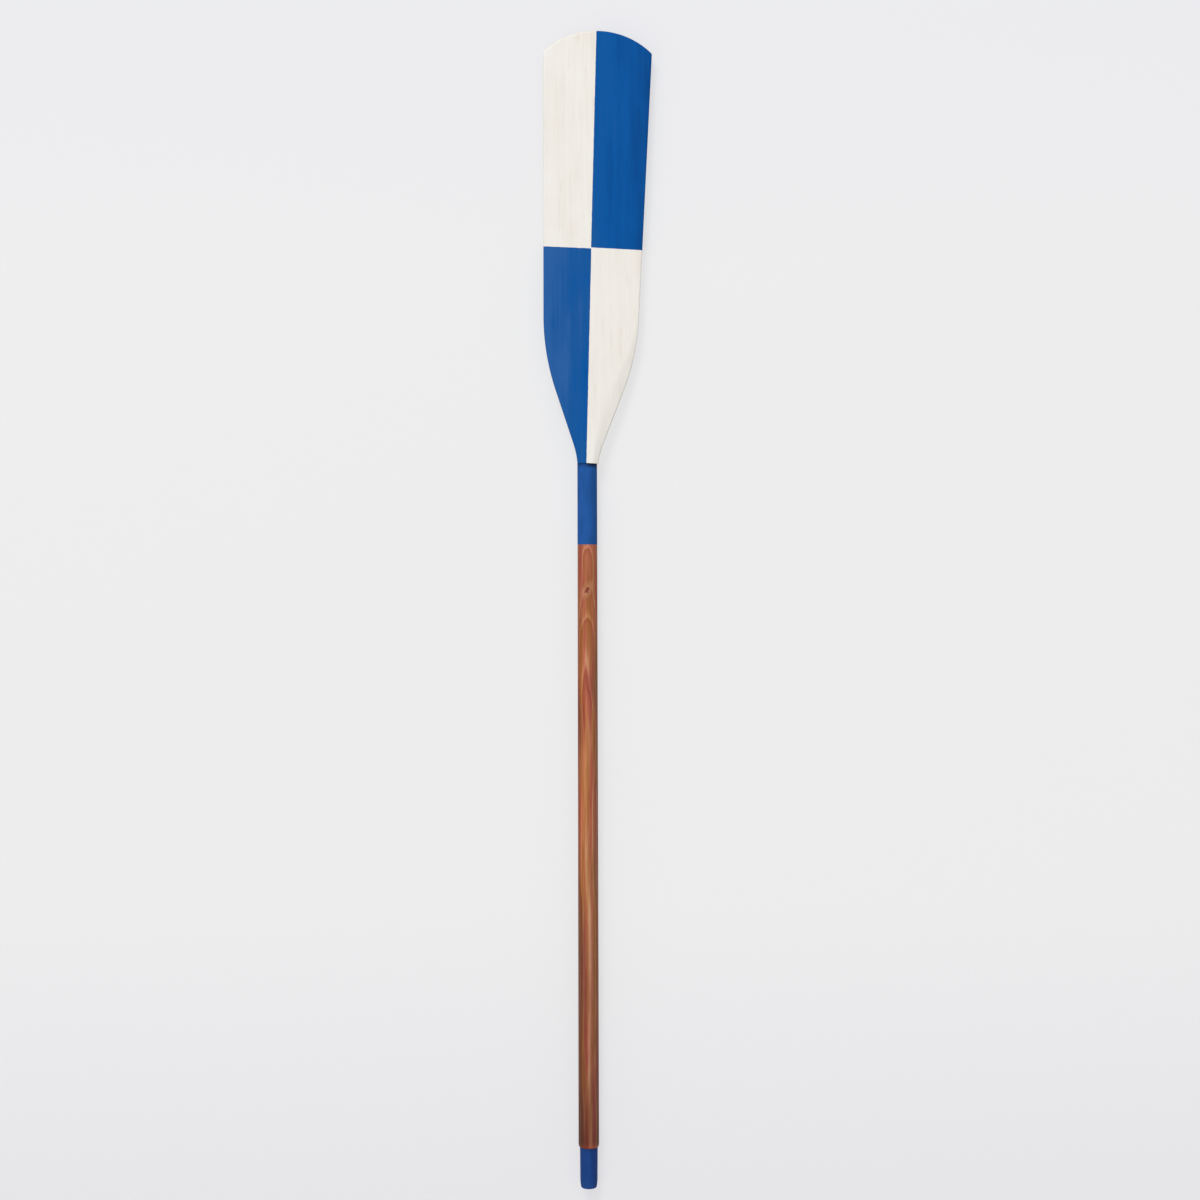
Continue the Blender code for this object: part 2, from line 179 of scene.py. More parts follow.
def blade_sections():
    """Closed sections round the blade, one a station, from the shoulder to the tip.

    A section runs over the front from the left flank to the right one and back over the rear. The
    rim lies square to the outline, by rim_path, and between the rims the face is ruled straight.
    """
    outline, normal = half_outline()
    width, rise = outline.T
    run_out = fall(rise, BEVEL_FULL_RISE, BEVEL_END_RISE)
    bevel = EDGE_BEVEL + (THROAT_BEVEL - EDGE_BEVEL) * run_out
    bevel = np.where(run_out > 0, np.minimum(bevel, BEVEL_SHARE * width), bevel)
    drop = EDGE_DROP + (THROAT_DROP - EDGE_DROP) * run_out
    inward, down = rim_path(bevel, drop)
    across = outline[:, None, 0] - normal[:, None, 0] * inward
    height = outline[:, None, 1] - normal[:, None, 1] * inward
    right = np.stack((across, down - half_thickness(height), height), axis=2)
    share = np.linspace(-1.0, 1.0, FACE_COLUMNS + 2)[None, 1:-1, None]
    face = right[:, :1] * np.concatenate((share, share ** 0, share ** 0), axis=2)
    left = right[:, ::-1] * np.array([-1.0, 1.0, 1.0])
    front = np.concatenate((left, face, right), axis=1)
    back = front[:, ::-1] * np.array([1.0, -1.0, 1.0])
    return np.concatenate((front, back), axis=1)


def rounded_foot(section):
    """Rows that close the shoulder: its middle point, then a quarter turn of FOOT_ROUND.

    At turn b the section is set in by FOOT_ROUND (1 - cos b), square to itself, and lies at the
    height FOOT_ROUND (1 - sin b), for b from a right angle down to just above nought.
    """
    along = np.roll(section, -1, axis=0) - np.roll(section, 1, axis=0)
    outward = np.stack((-along[:, 1], along[:, 0], along[:, 2] * 0), axis=1)
    outward /= np.linalg.norm(outward, axis=1, keepdims=True)
    outward *= np.sign(np.sum(outward * section, axis=1).mean())
    turn = np.linspace(math.pi / 2, 0.0, FOOT_STEPS + 1)[:-1, None, None]
    rows = section - outward * FOOT_ROUND * (1 - np.cos(turn))
    rows[:, :, 2] = FOOT_ROUND * (1 - np.sin(turn[:, :, 0]))
    middle = rows[:1] * 0
    return np.concatenate((middle, rows))


def grid_piece(name, points, finishes, row_slots=None):
    """A closed surface from a grid of points, with rows along the piece and columns round it.

    Face (i, j) has the corners (i, j), (i, j + 1), (i + 1, j + 1) and (i + 1, j), and after the
    last column comes the first. Points that coincide at a pole or along a fold are merged.
    """
    rows, columns = points.shape[:2]
    row, column = np.meshgrid(np.arange(rows - 1), np.arange(columns), indexing="ij")
    after = (column + 1) % columns
    corners = (row * columns + column, row * columns + after,
               (row + 1) * columns + after, (row + 1) * columns + column)
    faces = np.stack(corners, axis=2).reshape(-1, 4)
    mesh = bpy.data.meshes.new(name)
    mesh.from_pydata(points.reshape(-1, 3).tolist(), [], faces.tolist())
    for finish in finishes:
        mesh.materials.append(finish)
    if row_slots is not None:
        mesh.polygons.foreach_set("material_index", np.repeat(row_slots, columns))
    shape = bmesh.new()
    shape.from_mesh(mesh)
    bmesh.ops.remove_doubles(shape, verts=shape.verts, dist=MERGE_DISTANCE)
    bmesh.ops.recalc_face_normals(shape, faces=shape.faces)
    shape.to_mesh(mesh)
    shape.free()
    mesh.shade_smooth()
    mesh.set_sharp_from_angle(angle=SHARP_ANGLE)
    piece = bpy.data.objects.new(name, mesh)
    bpy.context.scene.collection.objects.link(piece)
    return piece


def linear(colour):
    """An sRGB colour written in hex as linear red, green, blue and alpha."""
    shares = np.array([colour >> 16 & 255, colour >> 8 & 255, colour & 255]) / 255
    light = np.where(shares > 0.04045, ((shares + 0.055) / 1.055) ** 2.4, shares / 12.92)
    return (*light.tolist(), 1.0)


def add(tree, kind, inputs=None, stops=(), **settings):
    """Adds a node with its settings, and gives each named input a value or a link.

    A node given as an input is linked by its first output in use. The stops are (place, sRGB hex)
    pairs of a colour ramp or (place, value) pairs of a curve, with every place from 0 to 1.
    """
    made = tree.nodes.new(kind)
    for name, value in settings.items():
        setattr(made, name, value)
    for name, value in (inputs or {}).items():
        if isinstance(value, bpy.types.Node):
            value = next(output for output in value.outputs if output.enabled)
        if isinstance(value, bpy.types.NodeSocket):
            tree.links.new(value, made.inputs[name])
        else:
            made.inputs[name].default_value = value
    for number, (place, value) in enumerate(stops):
        if kind == "ShaderNodeFloatCurve":
            points = made.mapping.curves[0].points
            point = points[number] if number < len(points) else points.new(1.0, 1.0)
            point.location = (place, value)
            made.mapping.update()
        else:
            elements = made.color_ramp.elements
            element = elements[number] if number < len(elements) else elements.new(1.0)
            element.position = place
            element.color = linear(value)
    return made


def new_finish(name):
    """An empty material and its node tree."""
    made = bpy.data.materials.new(name)
    made.use_nodes = True
    made.node_tree.nodes.clear()
    return made, made.node_tree


# where the tape ran: each line is a direction square to it and its distance from the origin
UPPER_LINE = ((1.0, 0.0, -0.02708), 0.001966)
LOWER_LINE = ((-1.0, 0.0, 0.02501), -0.000915)
RIGHT_CROSS = ((0.0583, 0.0, 1.0), -0.29376)
LEFT_CROSS = ((-0.0463, 0.0, -1.0), 0.29242)
# how far the blue's edge strays from the tape, all told, and half the width over which it fades
TAPE_WANDER = 0.0008
TAPE_FADE = 0.00012
# how often each pattern repeats in a metre, across, through and along the blade
BLADE_BRISTLES = (900.0, 900.0, 22.0)
BLADE_GRAIN = (170.0, 170.0, 5.0)
BLADE_CLOUDS = (26.0, 26.0, 11.0)
BLADE_SCUFFS = (150.0, 150.0, 20.0)
# the blue goes from lighter and hazier to darker between these two places across the blade:
# painted sheen on the left, towards the window, and painted shade on the right
SHEEN_AND_SHADE_REACH = (-0.060, 0.090)


def brushed_quarters():
    """Oil paint on sanded pine, brushed along the blade: white, with two blue quarters over it.

    It has dried nearly matt and shows faint bristle lines about 1 mm apart, the softer streaks of
    the pine under it, the raised edge of the blue film at the tape, a few tan scuffs on the white
    and a little wear along the rims. The blue is painted lighter and hazier to the left and darker
    to the right: painted sheen and shade from the window on the left.
    """
    made, tree = new_finish("oil_paint_brushed_white_and_blue")
    place = add(tree, "ShaderNodeTexCoord").outputs["Object"]

    wander = add(tree, "ShaderNodeTexNoise", {"Vector": place, "Scale": 140.0, "Detail": 3.0})
    wander = add(tree, "ShaderNodeMath", {0: wander.outputs["Fac"], 1: 0.5}, operation="SUBTRACT")
    wander = add(tree, "ShaderNodeMath", {0: wander, 1: TAPE_WANDER}, operation="MULTIPLY")
    fields = []
    for lines in ((UPPER_LINE, RIGHT_CROSS), (LOWER_LINE, LEFT_CROSS)):
        inside = []
        for direction, distance in lines:
            along = add(tree, "ShaderNodeVectorMath", {0: place, 1: direction},
                        operation="DOT_PRODUCT")
            inside.append(add(tree, "ShaderNodeMath", {0: along.outputs["Value"], 1: distance},
                              operation="ADD"))
        fields.append(add(tree, "ShaderNodeMath", {0: inside[0], 1: inside[1]},
                          operation="MINIMUM"))
    field = add(tree, "ShaderNodeMath", {0: fields[0], 1: fields[1]}, operation="MAXIMUM")
    field = add(tree, "ShaderNodeMath", {0: field, 1: wander}, operation="ADD")
    blue = add(tree, "ShaderNodeMapRange",
               {"Value": field, "From Min": -TAPE_FADE, "From Max": TAPE_FADE})

    bristles = add(tree, "ShaderNodeMapping", {"Vector": place, "Scale": BLADE_BRISTLES})
    bristles = add(tree, "ShaderNodeTexNoise",
                   {"Vector": bristles, "Scale": 1.0, "Detail": 3.0, "Roughness": 0.55})
    grain = add(tree, "ShaderNodeMapping", {"Vector": place, "Scale": BLADE_GRAIN})
    grain = add(tree, "ShaderNodeTexNoise",
                {"Vector": grain, "Scale": 1.0, "Detail": 2.0, "Distortion": 0.3})
    cloud = add(tree, "ShaderNodeMapping", {"Vector": place, "Scale": BLADE_CLOUDS})
    cloud = add(tree, "ShaderNodeTexNoise", {"Vector": cloud, "Scale": 1.0, "Detail": 2.0})
    tone = add(tree, "ShaderNodeMix", {0: 0.45, 2: cloud.outputs["Fac"], 3: grain.outputs["Fac"]})
    tone = add(tree, "ShaderNodeMix", {0: 0.25, 2: tone, 3: bristles.outputs["Fac"]})

    white = add(tree, "ShaderNodeValToRGB", {"Fac": tone},
                stops=((0.30, 0xDDD6CC), (0.50, 0xE6E2DB), (0.70, 0xEAE8E4)))
    scuffs = add(tree, "ShaderNodeMapping", {"Vector": place, "Scale": BLADE_SCUFFS})
    scuffs = add(tree, "ShaderNodeTexNoise", {"Vector": scuffs, "Scale": 1.0, "Detail": 4.0})
    scuffs = add(tree, "ShaderNodeMapRange",
                 {"Value": scuffs.outputs["Fac"], "From Min": 0.60, "From Max": 0.72,
                  "To Max": 0.2})
    white = add(tree, "ShaderNodeMix", {0: scuffs, 6: white, 7: linear(0xC6B29A)},
                data_type="RGBA")
    # painted sheen and shade: the blue's tone is lifted to the left and lowered to the right
    sheen_and_shade = add(tree, "ShaderNodeMapRange",
               {"Value": add(tree, "ShaderNodeSeparateXYZ", {"Vector": place}).outputs["X"],
                "From Min": SHEEN_AND_SHADE_REACH[0], "From Max": SHEEN_AND_SHADE_REACH[1], "To Min": 0.22,
                "To Max": -0.30})
    sheen_and_shade = add(tree, "ShaderNodeMath", {0: tone, 1: sheen_and_shade}, operation="ADD")
    deep = add(tree, "ShaderNodeValToRGB", {"Fac": sheen_and_shade},
               stops=((0.15, 0x004383), (0.28, 0x004B90), (0.40, 0x00529A), (0.56, 0x145396),
                      (0.74, 0x285C9C)))
    colour = add(tree, "ShaderNodeMix", {0: blue, 6: white, 7: deep}, data_type="RGBA")

    facing = add(tree, "ShaderNodeVectorMath",
                 {0: add(tree, "ShaderNodeNewGeometry").outputs["Normal"]}, operation="ABSOLUTE")
    facing = add(tree, "ShaderNodeSeparateXYZ", {"Vector": facing}).outputs["Y"]
    rim = add(tree, "ShaderNodeMapRange",
              {"Value": facing, "From Min": 0.90, "From Max": 0.45, "To Max": 0.25})
    rub = add(tree, "ShaderNodeTexNoise", {"Vector": place, "Scale": 45.0, "Detail": 5.0})
    rub = add(tree, "ShaderNodeMapRange",
              {"Value": rub.outputs["Fac"], "From Min": 0.50, "From Max": 0.66})
    worn = add(tree, "ShaderNodeMath", {0: rim, 1: rub}, operation="MULTIPLY")
    under = add(tree, "ShaderNodeMix", {0: blue, 6: linear(0xCDB68E), 7: linear(0x0C3468)},
                data_type="RGBA")
    colour = add(tree, "ShaderNodeMix", {0: worn, 6: colour, 7: under}, data_type="RGBA")

    film = add(tree, "ShaderNodeMath", {0: blue, 1: 0.6}, operation="MULTIPLY")
    relief = add(tree, "ShaderNodeMath",
                 {0: bristles.outputs["Fac"], 1: 0.5, 2: film}, operation="MULTIPLY_ADD")
    relief = add(tree, "ShaderNodeMath",
                 {0: grain.outputs["Fac"], 1: 0.8, 2: relief}, operation="MULTIPLY_ADD")
    bump = add(tree, "ShaderNodeBump", {"Strength": 0.6, "Distance": 0.00010, "Height": relief})
    gloss = add(tree, "ShaderNodeMapRange",
                {"Value": tone, "From Min": 0.3, "From Max": 0.7, "To Min": 0.60, "To Max": 0.50})
    shader = add(tree, "ShaderNodeBsdfPrincipled",
                 {"Base Color": colour, "Roughness": gloss, "Normal": bump,
                  "Specular IOR Level": 0.06})
    add(tree, "ShaderNodeOutputMaterial", {"Surface": shader})
    return made


PAINTED_QUARTERS = brushed_quarters()
sections = blade_sections()
skin = np.concatenate((rounded_foot(sections[0]), sections))
turn = np.array(Matrix.Rotation(BLADE_LEAN, 3, "Y"))
faired_blade = grid_piece("faired_blade", skin @ turn.T + (BLADE_SHIFT, 0.0, 0.0),
                          [PAINTED_QUARTERS])

# The loom
# One pine bar: turned round and stained from the butt up to a painted neck, and left flat-sided
# above the shoulder, where it is the blade's spine. Its butt is eased and bored for the grip.

LOOM_LENGTH = 0.9300
BUTT_RADIUS = 0.01405
BUTT_EASE_LENGTH = 0.0060
BUTT_EASE_DEPTH = 0.0019
NECK_PAINT_LENGTH = 0.1100
PAINT_FILM = 0.00006
SPINE_HALF = 0.01495
UNION_OVERLAP = 0.0030
NECK_LEAD = 0.0010
CUT_MARGIN = 0.0200
BORE_RADIUS = 0.0073
BORE_DEPTH = 0.0608
DRILL_RADIUS = 0.0033
DRILL_LENGTH = 0.0716
DRILL_SIDES = 32
DOWEL_HEIGHTS = np.linspace(0.1120, 0.4687, 4)
TURNED_SIDES = 128
NECK_ROWS = 20
WOOD_ROWS = 82


def turned(name, profile, finishes, row_slots=None):
    """A piece turned about Z: a profile of (radius, height) carried round TURNED_SIDES angles.

    Point (i, j) is (radius_i cos a_j, radius_i sin a_j, height_i).
    """
    radius, height = np.array(profile).T[:, :, None]
    angle = np.linspace(0.0, 2 * math.pi, TURNED_SIDES, endpoint=False)
    points = np.stack((radius * np.cos(angle), radius * np.sin(angle), height + angle * 0), axis=2)
    return grid_piece(name, points, finishes, row_slots)


def eased(radius, depth, top, length, steps=8):
    """A quarter ellipse of that depth and length that runs down from (radius, top)."""
    angle = np.linspace(0.0, math.pi / 2, steps + 1)
    return np.column_stack((radius - depth * (1 - np.cos(angle)), top - length * np.sin(angle)))


def bare_pine():
    """Pine fresh from the plane, pale and dull, with rings about 3 mm apart. It shows only in the
    glue lines and the bores."""
    made, tree = new_finish("pine_planed_bare")
    place = add(tree, "ShaderNodeTexCoord").outputs["Object"]
    stretched = add(tree, "ShaderNodeMapping", {"Vector": place, "Scale": (330.0, 330.0, 9.0)})
    rings = add(tree, "ShaderNodeTexNoise", {"Vector": stretched, "Scale": 1.0, "Detail": 3.0})
    colour = add(tree, "ShaderNodeValToRGB", {"Fac": rings.outputs["Fac"]},
                 stops=((0.35, 0xE2C596), (0.55, 0xD6B07A), (0.66, 0xBD8E58)))
    bump = add(tree, "ShaderNodeBump",
               {"Strength": 0.3, "Distance": 0.0001, "Height": rings.outputs["Fac"]})
    shader = add(tree, "ShaderNodeBsdfPrincipled",
                 {"Base Color": colour, "Roughness": 0.72, "Normal": bump})
    add(tree, "ShaderNodeOutputMaterial", {"Surface": shader})
    return made


# All that follows for the wood is in mm, and heights are measured from the shoulder.
WOOD_LOW = -1000 * LOOM_LENGTH
WOOD_HIGH = -1000 * NECK_PAINT_LENGTH
# heights, each with the depth of the pith in front of the loom's face, of PITH_DEEPEST at most
PITH_PATH = ((-930, 4.2), (-600, 4.4), (-430, 4.1), (-385, 2.8), (-348, 1.0), (-293, 1.0),
             (-269, 2.5), (-239, 4.9), (-223, 7.3), (-208, 10.4), (-196, 12.0), (-171, 15.0),
             (-150, 14.9), (-128, 15.1), (-119, 16.1), (-110, 18.0))
PITH_DEEPEST = 24.0
# heights, each with the pith's place across the loom, of PITH_WIDEST at most to either side
PITH_SWAY = ((-930, 3.5), (-894, 3.5), (-840, 1.0), (-785, 1.0), (-730, 2.8), (-622, 2.4),
             (-567, -1.5), (-500, -3.0), (-404, -1.5), (-350, 0.5), (-328, -1.0), (-314, -2.5),
             (-293, -4.0), (-269, -3.2), (-240, -1.5), (-208, 0.0), (-110, 0.0))
PITH_WIDEST = 8.0
# between these heights the pith moves off by PITH_OFFSET more, so that the rings above are flatter,
# and its sway is 1 + SWAY_GAIN * that offset times as wide, so that they turn as much
OFFSET_HEIGHTS = (-430.0, -350.0)
PITH_OFFSET = 42.0
SWAY_GAIN = 0.055
RING_WIDTH = 7.0
RING_WANDER = 2.4
# between these heights the rings go from crisp to soft
SOFTER_HEIGHTS = (-355.0, -395.0)
# heights, each with the share of the rings that the stain hides
RING_FADE = ((-930, 0.0), (-455, 0.0), (-420, 0.85), (-372, 0.85), (-335, 0.0), (-110, 0.0))
# between these two places from the pith the wood goes from orange to red-brown, and below the
# second height it does so in full
SIDES_WIDTH = (-10.5, 15.5)
SIDES_HEIGHTS = (-170.0, -330.0)
# how often each pattern repeats in a mm, across, through and along the loom
RING_WANDER_SCALE = (0.09, 0.09, 0.012)
STREAK_SCALE = (0.17, 0.17, 0.008)
FIBRE_SCALE = (1.6, 1.6, 0.04)
# the knot is KNOT_STRETCH times as long as wide, bends the rings by KNOT_BULGE out to KNOT_REACH,
# and has edges torn by KNOT_TEAR
KNOT_PLACE = (-0.5, -13.5, -172.0)
KNOT_TILT = math.radians(34)
KNOT_STRETCH = 2.1
KNOT_BULGE = 1.4
KNOT_REACH = 9.0
KNOT_TEAR = 6.0
# the radii where each part of the knot begins and is full, its share and its colour
KNOT_HALO = (12.5, 7.5, 0.35, 0xB4875A)
KNOT_RIM = (8.0, 6.4, 0.35, 0xCF9076)
KNOT_PLUG = (6.8, 4.8, 0.95, 0x7A3020)


def along_loom(path, low, high):
    """Pairs of a height and a value as curve points, with the wood's length as 1 and the span from
    low to high as 1."""
    length = WOOD_HIGH - WOOD_LOW
    return [((at - WOOD_LOW) / length, (value - low) / (high - low)) for at, value in path]


def stained_pine():
    """Pine, turned, sanded and wiped with a red-brown stain under thin satin varnish.

    The soft early wood drinks the stain and turns dark, and the hard late wood stays pale, so each
    ring shows as a pale band. The rings are cylinders of RING_WIDTH about a pith that runs in front
    of the loom's face and nears it going down: it draws nested arches below the neck, and one pale
    wandering streak further down, orange on its left and red-brown on its right. Between the two
    the stain nearly hides the rings. A small knot bends them. Pink and olive streaks cross them,
    and the loom is painted darker towards the butt, as painted shade where less light reaches.
    """
    made, tree = new_finish("pine_turned_and_stained")
    place = add(tree, "ShaderNodeTexCoord").outputs["Object"]
    in_mm = add(tree, "ShaderNodeVectorMath", {0: place, "Scale": 1000.0}, operation="SCALE")
    parts = add(tree, "ShaderNodeSeparateXYZ", {"Vector": in_mm})
    z = parts.outputs["Z"]

    height = add(tree, "ShaderNodeMapRange",
                 {"Value": z, "From Min": WOOD_LOW, "From Max": WOOD_HIGH})
    depth = add(tree, "ShaderNodeFloatCurve", {"Value": height},
                stops=along_loom(PITH_PATH, 0.0, PITH_DEEPEST))
    depth = add(tree, "ShaderNodeMath", {0: depth, 1: -PITH_DEEPEST, 2: -1000 * BUTT_RADIUS},
                operation="MULTIPLY_ADD")
    offset = add(tree, "ShaderNodeMapRange",
                 {"Value": z, "From Min": OFFSET_HEIGHTS[0], "From Max": OFFSET_HEIGHTS[1],
                  "To Max": PITH_OFFSET}, interpolation_type="SMOOTHSTEP")
    depth = add(tree, "ShaderNodeMath", {0: depth, 1: offset}, operation="SUBTRACT")

    across = add(tree, "ShaderNodeFloatCurve", {"Value": height},
                 stops=along_loom(PITH_SWAY, -PITH_WIDEST, PITH_WIDEST))
    across = add(tree, "ShaderNodeMath", {0: across, 1: 2 * PITH_WIDEST, 2: -PITH_WIDEST},
                 operation="MULTIPLY_ADD")
    farther = add(tree, "ShaderNodeMath", {0: offset, 1: SWAY_GAIN, 2: 1.0},
                  operation="MULTIPLY_ADD")
    farther = add(tree, "ShaderNodeMath", {0: across, 1: farther}, operation="MULTIPLY")
    pith = add(tree, "ShaderNodeCombineXYZ", {"X": farther, "Y": depth, "Z": z})
    reach = add(tree, "ShaderNodeVectorMath", {0: in_mm, 1: pith}, operation="DISTANCE")
    reach = add(tree, "ShaderNodeMath", {0: reach.outputs["Value"], 1: offset},
                operation="SUBTRACT")

    wander = add(tree, "ShaderNodeMapping", {"Vector": in_mm, "Scale": RING_WANDER_SCALE})
    wander = add(tree, "ShaderNodeTexNoise", {"Vector": wander, "Scale": 1.0, "Detail": 3.0})
    reach = add(tree, "ShaderNodeMath", {0: wander.outputs["Fac"], 1: RING_WANDER, 2: reach},
                operation="MULTIPLY_ADD")

    from_knot = add(tree, "ShaderNodeMapping",
                    {"Vector": in_mm, "Location": KNOT_PLACE, "Rotation": (0.0, KNOT_TILT, 0.0),
                     "Scale": (1.0, 1.0, KNOT_STRETCH)}, vector_type="TEXTURE")
    from_knot = add(tree, "ShaderNodeVectorMath", {0: from_knot}, operation="LENGTH")
    bulge = add(tree, "ShaderNodeMapRange",
                {"Value": from_knot.outputs["Value"], "From Min": KNOT_REACH, "From Max": 0.0,
                 "To Max": KNOT_BULGE}, interpolation_type="SMOOTHSTEP")
    reach = add(tree, "ShaderNodeMath", {0: reach, 1: bulge}, operation="ADD")

    ring = add(tree, "ShaderNodeMath", {0: reach, 1: RING_WIDTH}, operation="DIVIDE")
    ring = add(tree, "ShaderNodeMath", {0: ring}, operation="FRACT")
    crisp = add(tree, "ShaderNodeValToRGB", {"Fac": ring},
                stops=((0.00, 0xC8865E), (0.45, 0xC58259), (0.66, 0xBA724C), (0.75, 0xE4AE84),
                       (0.80, 0xDDA47A), (0.90, 0xCF8E65), (1.00, 0xC8865E)))
    soft = add(tree, "ShaderNodeValToRGB", {"Fac": ring},
               stops=((0.00, 0xBF7C57), (0.40, 0xC5825A), (0.66, 0xD29066), (0.78, 0xE8B48B),
                      (0.86, 0xD59A70), (1.00, 0xBF7C57)))
    softer = add(tree, "ShaderNodeMapRange",
                 {"Value": z, "From Min": SOFTER_HEIGHTS[0], "From Max": SOFTER_HEIGHTS[1]})
    rings = add(tree, "ShaderNodeMix", {0: softer, 6: crisp, 7: soft}, data_type="RGBA")
    faint = add(tree, "ShaderNodeFloatCurve", {"Value": height},
                stops=along_loom(RING_FADE, 0.0, 1.0))
    rings = add(tree, "ShaderNodeMix", {0: faint, 6: rings, 7: linear(0xCB8B62)},
                data_type="RGBA")

    streaks = add(tree, "ShaderNodeMapping", {"Vector": in_mm, "Scale": STREAK_SCALE})
    streaks = add(tree, "ShaderNodeTexNoise", {"Vector": streaks, "Scale": 1.0, "Detail": 1.5})
    stain = add(tree, "ShaderNodeValToRGB", {"Fac": streaks.outputs["Fac"]},
                stops=((0.38, 0xF4CCE8), (0.46, 0xFFEEF6), (0.52, 0xFFFFFF), (0.62, 0xEAE2BC)))
    colour = add(tree, "ShaderNodeMix", {0: 1.0, 6: rings, 7: stain},
                 data_type="RGBA", blend_type="MULTIPLY")

    aside = add(tree, "ShaderNodeMath", {0: parts.outputs["X"], 1: across}, operation="SUBTRACT")
    aside = add(tree, "ShaderNodeMath", {0: streaks.outputs["Fac"], 1: 5.0, 2: aside},
                operation="MULTIPLY_ADD")
    aside = add(tree, "ShaderNodeMapRange",
                {"Value": aside, "From Min": SIDES_WIDTH[0], "From Max": SIDES_WIDTH[1]})
    band = add(tree, "ShaderNodeValToRGB", {"Fac": aside},
               stops=((0.00, 0xB49E8E), (0.18, 0xD6C0AA), (0.32, 0xF4E2C8), (0.42, 0xFDF2E0),
                      (0.50, 0xFFFFFF), (0.60, 0xEFE6E4), (0.74, 0xE2D2C8), (1.00, 0xC0BABE)))
    lower = add(tree, "ShaderNodeMapRange",
                {"Value": z, "From Min": SIDES_HEIGHTS[0], "From Max": SIDES_HEIGHTS[1],
                 "To Min": 0.3}, interpolation_type="SMOOTHSTEP")
    colour = add(tree, "ShaderNodeMix", {0: lower, 6: colour, 7: band},
                 data_type="RGBA", blend_type="MULTIPLY")

    fibres = add(tree, "ShaderNodeMapping", {"Vector": in_mm, "Scale": FIBRE_SCALE})
    fibres = add(tree, "ShaderNodeTexNoise",
                 {"Vector": fibres, "Scale": 1.0, "Detail": 4.0, "Roughness": 0.6})
    fibre_tone = add(tree, "ShaderNodeValToRGB", {"Fac": fibres.outputs["Fac"]},
                     stops=((0.34, 0xD6CFCB), (0.50, 0xF4F1EF), (0.64, 0xFFFFFF)))
    colour = add(tree, "ShaderNodeMix", {0: 0.7, 6: colour, 7: fibre_tone},
                 data_type="RGBA", blend_type="MULTIPLY")

    # painted shade: darker towards the butt; the tone is also a little darker near the neck's paint
    shade_down_loom = add(tree, "ShaderNodeValToRGB", {"Fac": height},
                  stops=((0.000, 0xD2B8B4), (0.010, 0xA19290), (0.050, 0xB2A8B1),
                         (0.160, 0xD2CDD4), (0.316, 0xDCE4EE), (0.555, 0xFFFFFF),
                         (0.725, 0xEDEBE9), (0.940, 0xE2D0D1)))
    colour = add(tree, "ShaderNodeMix", {0: 1.0, 6: colour, 7: shade_down_loom},
                 data_type="RGBA", blend_type="MULTIPLY")

    # the knot is a slanting dark red plug with torn edges and a pale rim, in a ring of yellower
    # wood, and each of the three is drawn by its distance from the knot's middle
    torn = add(tree, "ShaderNodeTexNoise", {"Vector": in_mm, "Scale": 0.42, "Detail": 2.0})
    from_knot = add(tree, "ShaderNodeMath",
                    {0: torn.outputs["Fac"], 1: KNOT_TEAR, 2: from_knot.outputs["Value"]},
                    operation="MULTIPLY_ADD")
    for begins, full, most, shade in (KNOT_HALO, KNOT_RIM, KNOT_PLUG):
        share = add(tree, "ShaderNodeMapRange",
                    {"Value": from_knot, "From Min": begins, "From Max": full, "To Max": most},
                    interpolation_type="SMOOTHSTEP")
        colour = add(tree, "ShaderNodeMix", {0: share, 6: colour, 7: linear(shade)},
                     data_type="RGBA")

    bump = add(tree, "ShaderNodeBump",
               {"Strength": 0.5, "Distance": 0.00008, "Height": fibres.outputs["Fac"]})
    gloss = add(tree, "ShaderNodeMapRange",
                {"Value": fibres.outputs["Fac"], "From Min": 0.35, "From Max": 0.65,
                 "To Min": 0.58, "To Max": 0.48})
    shader = add(tree, "ShaderNodeBsdfPrincipled",
                 {"Base Color": colour, "Roughness": gloss, "Normal": bump,
                  "Specular IOR Level": 0.26})
    add(tree, "ShaderNodeOutputMaterial", {"Surface": shader})
    return made


# how often each pattern repeats in a metre, across, through and along the turned part
TURNED_BRISTLES = (850.0, 850.0, 30.0)
TURNED_CLOUDS = (60.0, 60.0, 25.0)
# painted shade: the paint darkens from the axis to RIGHT_SHADE_SIDE on the right, away from the
# window
RIGHT_SHADE_SIDE = 0.012
# painted shadow under a corner: full from the corner down to CORNER_SHADE_FULL, then less and less
# down to CORNER_SHADE_TO. From the first place across to the second, it goes from CORNER_SHADE_LEFT
# of its share to all of it, so it is weaker on the left, towards the window.
CORNER_SHADE_FULL = 0.0026
CORNER_SHADE_TO = 0.0070
CORNER_SHADE_ACROSS = (-0.004, 0.003)
CORNER_SHADE_LEFT = 0.28


